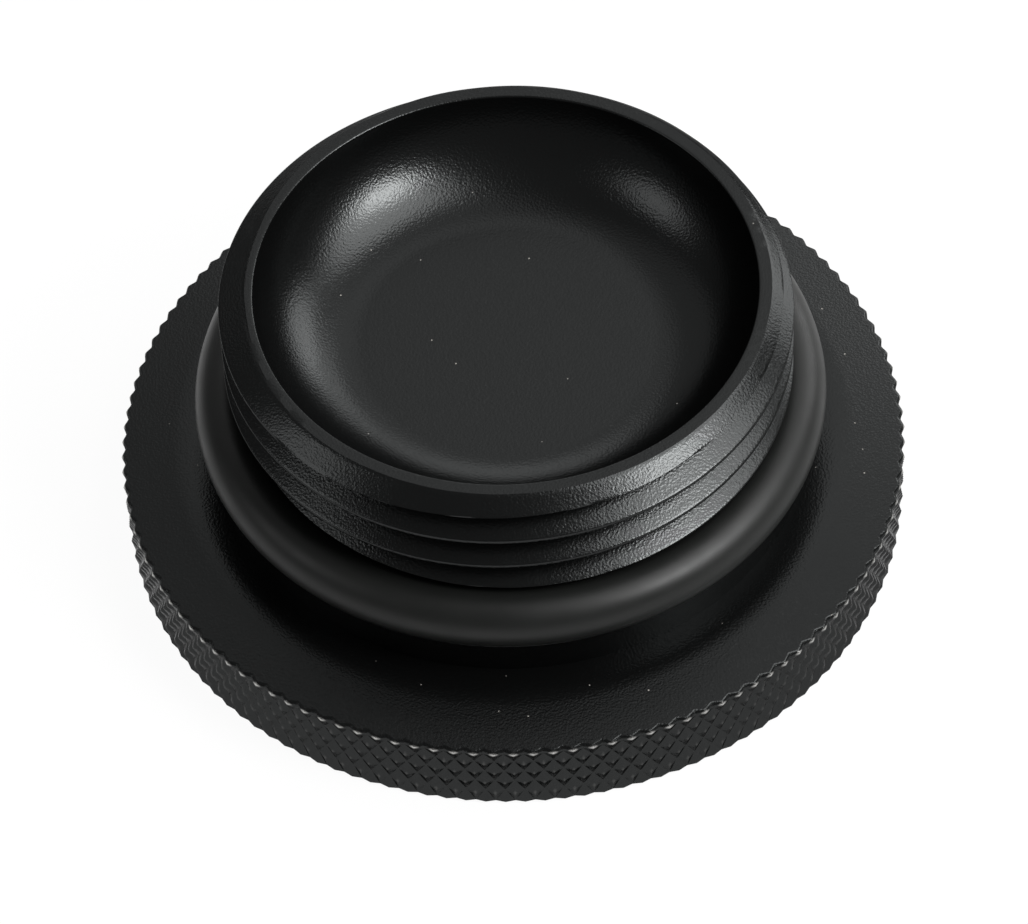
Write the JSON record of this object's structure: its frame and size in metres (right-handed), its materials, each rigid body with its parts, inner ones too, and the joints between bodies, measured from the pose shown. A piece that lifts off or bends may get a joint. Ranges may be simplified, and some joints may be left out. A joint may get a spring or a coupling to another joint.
{
  "type": "oil filler cap",
  "caption": "Screw-in oil filler cap: knurled grip flange, shoulder, coarse metric thread with a dished end, and a rubber sealing ring below the thread.",
  "frame": {"origin": "centre of the flat grip face, which the cap lies on", "axes": "+Z along the thread's axis, from the grip face to the dished end; X and Y are free, since the cap is round"},
  "size_m": [0.063, 0.063, 0.0256],
  "materials": {
    "black_anodised_aluminium": "blasted and black anodised, satin",
    "black_rubber": "moulded nitrile rubber, semi-matt"
  },
  "bodies": {
    "root": {"cap_body": "black_anodised_aluminium", "seal_ring": "black_rubber"}
  },
  "joints": []
}
